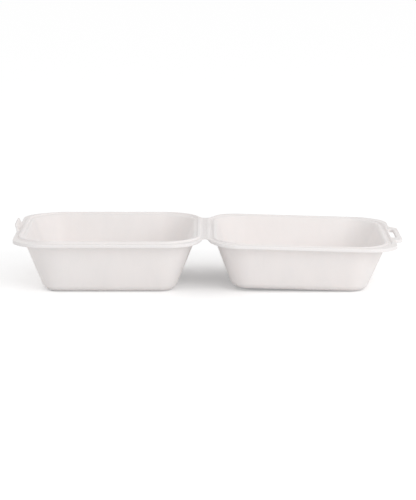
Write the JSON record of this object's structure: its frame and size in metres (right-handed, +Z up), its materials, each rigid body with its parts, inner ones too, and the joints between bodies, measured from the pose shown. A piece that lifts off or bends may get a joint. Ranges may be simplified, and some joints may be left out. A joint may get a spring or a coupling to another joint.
{
  "type": "foam clamshell container",
  "caption": "Hinged foam food container, opened flat: two tapered square tubs joined by a crushed fold, with a bead-and-groove rim and a tongue-and-slot lock.",
  "frame": {"origin": "on the floor the container stands on, at the middle of its footprint when opened flat; the fold lies about 1.8 mm towards the base from it", "axes": "+X from the base across the fold to the lid, +Y along the fold, +Z up out of the base's mouth"},
  "size_m": [0.267, 0.13, 0.0418],
  "materials": {
    "foam": "matte thermoformed polystyrene foam"
  },
  "bodies": {
    "base": {"base": "foam"},
    "lid": {"lid": "foam"}
  },
  "joints": [
    {"name": "lid_hinge", "type": "hinge", "parent": "base", "child": "lid", "pos_m": [-0.00189, 0, 0.0367], "axis": [0, -1, 0], "range_deg": [0, 181.64]}
  ]
}
